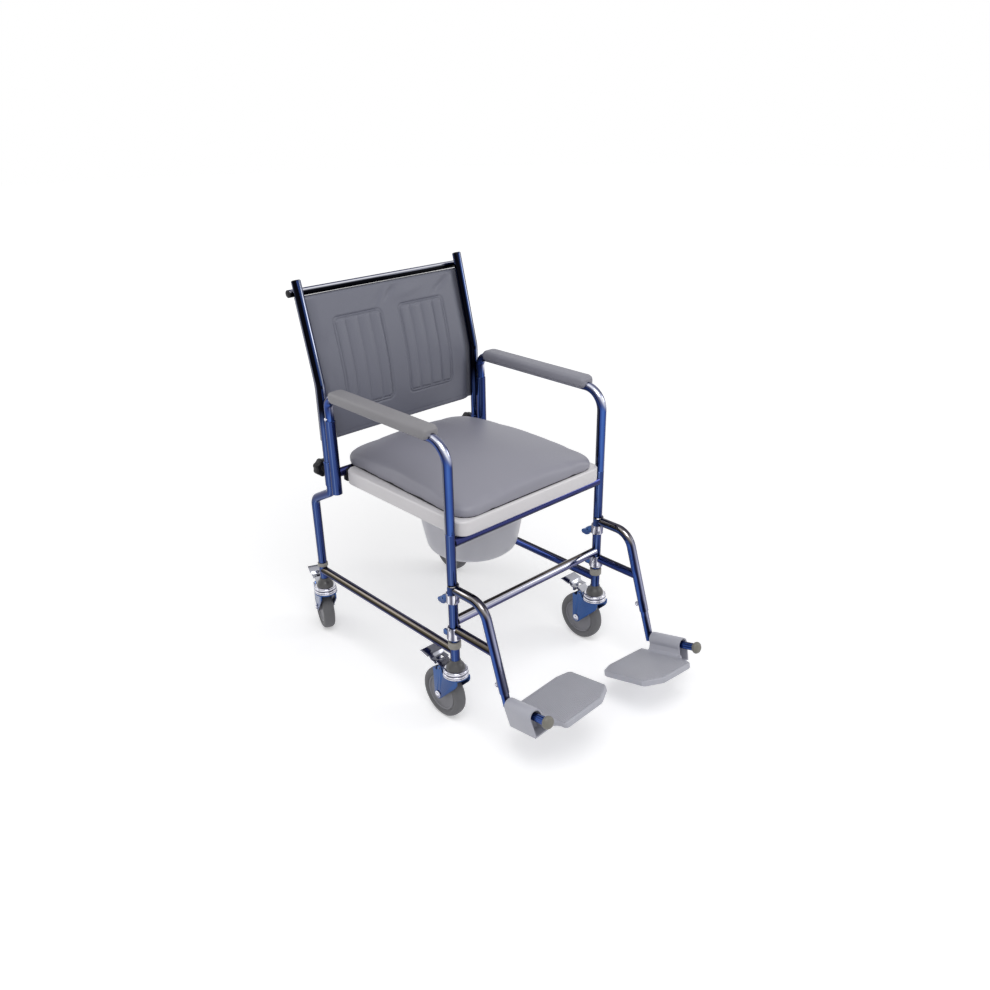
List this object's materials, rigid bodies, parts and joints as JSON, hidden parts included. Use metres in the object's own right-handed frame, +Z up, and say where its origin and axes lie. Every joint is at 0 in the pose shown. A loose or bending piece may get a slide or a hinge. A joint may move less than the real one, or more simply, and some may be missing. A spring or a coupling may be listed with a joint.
{
  "type": "wheeled commode chair",
  "caption": "Chromed tube commode chair on braked castors with padded seat and back, lift-off arms, slide-out pan and swing-away leg rests.",
  "frame": {"origin": "on the floor, at the bottom centre of the whole chair's box", "axes": "+Z up, -Y towards the footplates (the way the user faces), +X towards the user's left"},
  "size_m": [0.536, 0.9666, 0.9471],
  "materials": {
    "chrome": "bright plated",
    "zinc": "zinc plated",
    "grey_vinyl": "fine-grained vinyl",
    "arm_foam": "skinned foam",
    "seat_plastic": "semi-gloss",
    "pan_plastic": "translucent",
    "plate_plastic": "ribbed",
    "hub_plastic": "moulded",
    "tyre_rubber": "matt",
    "black_plastic": "matt"
  },
  "bodies": {
    "frame": {"front_leg_right": "chrome", "rear_leg_right": "chrome", "arm_receiver_right": "chrome", "side_rail_right": "chrome", "front_leg_left": "chrome", "rear_leg_left": "chrome", "arm_receiver_left": "chrome", "side_rail_left": "chrome", "lower_cross_tube": "chrome", "seat_front_tube": "chrome", "seat_rear_tube": "chrome", "commode_seat": "seat_plastic", "castor_cup_front_right": "hub_plastic", "castor_cup_front_left": "hub_plastic", "castor_cup_rear_right": "hub_plastic", "castor_cup_rear_left": "hub_plastic"},
    "fork_front_right": {"castor_fork_front_right": "zinc", "castor_axle_front_right": "zinc"},
    "wheel_front_right": {"castor_hub_front_right": "hub_plastic", "castor_tyre_front_right": "tyre_rubber"},
    "brake_front_right": {"castor_pedal_front_right": "chrome"},
    "fork_front_left": {"castor_fork_front_left": "zinc", "castor_axle_front_left": "zinc"},
    "wheel_front_left": {"castor_hub_front_left": "hub_plastic", "castor_tyre_front_left": "tyre_rubber"},
    "brake_front_left": {"castor_pedal_front_left": "chrome"},
    "fork_rear_right": {"castor_fork_rear_right": "zinc", "castor_axle_rear_right": "zinc"},
    "wheel_rear_right": {"castor_hub_rear_right": "hub_plastic", "castor_tyre_rear_right": "tyre_rubber"},
    "brake_rear_right": {"castor_pedal_rear_right": "chrome"},
    "fork_rear_left": {"castor_fork_rear_left": "zinc", "castor_axle_rear_left": "zinc"},
    "wheel_rear_left": {"castor_hub_rear_left": "hub_plastic", "castor_tyre_rear_left": "tyre_rubber"},
    "brake_rear_left": {"castor_pedal_rear_left": "chrome"},
    "arm_right": {"arm_tube_right": "chrome", "arm_pad_right": "arm_foam"},
    "button_right": {"snap_button_right": "zinc"},
    "leg_rest_right": {"hanger_right": "chrome", "clamp_bolt_right": "zinc"},
    "lever_right": {"release_lever_right": "zinc"},
    "footrest_right": {"extension_right": "chrome", "bar_cap_right": "plate_plastic"},
    "plate_right": {"footplate_right": "plate_plastic"},
    "knob_right": {"star_knob_right": "black_plastic"},
    "arm_left": {"arm_tube_left": "chrome", "arm_pad_left": "arm_foam"},
    "button_left": {"snap_button_left": "zinc"},
    "leg_rest_left": {"hanger_left": "chrome", "clamp_bolt_left": "zinc"},
    "lever_left": {"release_lever_left": "zinc"},
    "footrest_left": {"extension_left": "chrome", "bar_cap_left": "plate_plastic"},
    "plate_left": {"footplate_left": "plate_plastic"},
    "knob_left": {"star_knob_left": "black_plastic"},
    "back": {"back_frame": "chrome", "back_pad": "grey_vinyl"},
    "cushion": {"seat_cushion": "grey_vinyl"},
    "pan": {"pan": "pan_plastic"}
  },
  "joints": [
    {"name": "castor_swivel_front_right", "type": "hinge", "parent": "frame", "child": "fork_front_right", "pos_m": [-0.238, -0.1492, 0.1398], "axis": [0, 0, 1], "continuous": true},
    {"name": "wheel_roll_front_right", "type": "hinge", "parent": "fork_front_right", "child": "wheel_front_right", "pos_m": [-0.238, -0.1062, 0.0625], "axis": [1, 0, 0], "continuous": true},
    {"name": "brake_pedal_front_right", "type": "hinge", "parent": "fork_front_right", "child": "brake_front_right", "pos_m": [-0.238, -0.1152, 0.14], "axis": [-1, 0, 0], "range_deg": [0, 15]},
    {"name": "castor_swivel_front_left", "type": "hinge", "parent": "frame", "child": "fork_front_left", "pos_m": [0.238, -0.1492, 0.1398], "axis": [0, 0, 1], "continuous": true},
    {"name": "wheel_roll_front_left", "type": "hinge", "parent": "fork_front_left", "child": "wheel_front_left", "pos_m": [0.238, -0.1062, 0.0625], "axis": [1, 0, 0], "continuous": true},
    {"name": "brake_pedal_front_left", "type": "hinge", "parent": "fork_front_left", "child": "brake_front_left", "pos_m": [0.238, -0.1152, 0.14], "axis": [-1, 0, 0], "range_deg": [0, 15]},
    {"name": "castor_swivel_rear_right", "type": "hinge", "parent": "frame", "child": "fork_rear_right", "pos_m": [-0.238, 0.3778, 0.1398], "axis": [0, 0, 1], "continuous": true},
    {"name": "wheel_roll_rear_right", "type": "hinge", "parent": "fork_rear_right", "child": "wheel_rear_right", "pos_m": [-0.22329, 0.41821, 0.0625], "axis": [0.9397, -0.342, 0], "continuous": true},
    {"name": "brake_pedal_rear_right", "type": "hinge", "parent": "fork_rear_right", "child": "brake_rear_right", "pos_m": [-0.22637, 0.40975, 0.14], "axis": [-0.9397, 0.342, 0], "range_deg": [0, 15]},
    {"name": "castor_swivel_rear_left", "type": "hinge", "parent": "frame", "child": "fork_rear_left", "pos_m": [0.238, 0.3778, 0.1398], "axis": [0, 0, 1], "continuous": true},
    {"name": "wheel_roll_rear_left", "type": "hinge", "parent": "fork_rear_left", "child": "wheel_rear_left", "pos_m": [0.238, 0.4208, 0.0625], "axis": [1, 0, 0], "continuous": true},
    {"name": "brake_pedal_rear_left", "type": "hinge", "parent": "fork_rear_left", "child": "brake_rear_left", "pos_m": [0.238, 0.4118, 0.14], "axis": [-1, 0, 0], "range_deg": [0, 15]},
    {"name": "arm_lift_right", "type": "slide", "parent": "frame", "child": "arm_right", "axis": [0, 0, 1], "range_m": [0, 0.12]},
    {"name": "button_press_right", "type": "slide", "parent": "arm_right", "child": "button_right", "axis": [1, 0, 0], "range_m": [0, 0.003], "stiffness_N_per_m": 400},
    {"name": "leg_rest_swing_right", "type": "hinge", "parent": "frame", "child": "leg_rest_right", "pos_m": [-0.238, -0.1492, 0.252], "axis": [0, 0, -1], "range_deg": [0, 110]},
    {"name": "lever_pull_right", "type": "hinge", "parent": "leg_rest_right", "child": "lever_right", "pos_m": [-0.238, -0.1232, 0.324], "axis": [1, 0, 0], "range_deg": [0, 20], "stiffness_Nm_per_rad": 0.6},
    {"name": "footrest_length_right", "type": "slide", "parent": "leg_rest_right", "child": "footrest_right", "axis": [0, -0.304, -0.9527], "range_m": [0, 0.06]},
    {"name": "footplate_flip_right", "type": "hinge", "parent": "footrest_right", "child": "plate_right", "pos_m": [-0.238, -0.31726, 0.1396], "axis": [-0.1043, -0.9651, 0.2403], "range_deg": [0, 81]},
    {"name": "knob_turn_right", "type": "hinge", "parent": "frame", "child": "knob_right", "pos_m": [-0.238, 0.3105, 0.4995], "axis": [0, 1, 0], "range_deg": [0, 720]},
    {"name": "arm_lift_left", "type": "slide", "parent": "frame", "child": "arm_left", "axis": [0, 0, 1], "range_m": [0, 0.12]},
    {"name": "button_press_left", "type": "slide", "parent": "arm_left", "child": "button_left", "axis": [-1, 0, 0], "range_m": [0, 0.003], "stiffness_N_per_m": 400},
    {"name": "leg_rest_swing_left", "type": "hinge", "parent": "frame", "child": "leg_rest_left", "pos_m": [0.238, -0.1492, 0.252], "axis": [0, 0, 1], "range_deg": [0, 110]},
    {"name": "lever_pull_left", "type": "hinge", "parent": "leg_rest_left", "child": "lever_left", "pos_m": [0.238, -0.1232, 0.324], "axis": [1, 0, 0], "range_deg": [0, 20], "stiffness_Nm_per_rad": 0.6},
    {"name": "footrest_length_left", "type": "slide", "parent": "leg_rest_left", "child": "footrest_left", "axis": [0, -0.304, -0.9527], "range_m": [-0.044, 0.016]},
    {"name": "footplate_flip_left", "type": "hinge", "parent": "footrest_left", "child": "plate_left", "pos_m": [0.238, -0.3315, 0.095], "axis": [-0.0174, 0.9702, -0.2419], "range_deg": [0, 83.5]},
    {"name": "knob_turn_left", "type": "hinge", "parent": "frame", "child": "knob_left", "pos_m": [0.238, 0.3105, 0.4995], "axis": [0, 1, 0], "range_deg": [0, 720]},
    {"name": "back_lift", "type": "slide", "parent": "frame", "child": "back", "axis": [0, 0, 1], "range_m": [0, 0.08]},
    {"name": "cushion_lift", "type": "slide", "parent": "frame", "child": "cushion", "axis": [0, -0.8944, 0.4472], "range_m": [0, 0.3]},
    {"name": "pan_slide", "type": "slide", "parent": "frame", "child": "pan", "axis": [0, 1, 0], "range_m": [0, 0.4]}
  ]
}
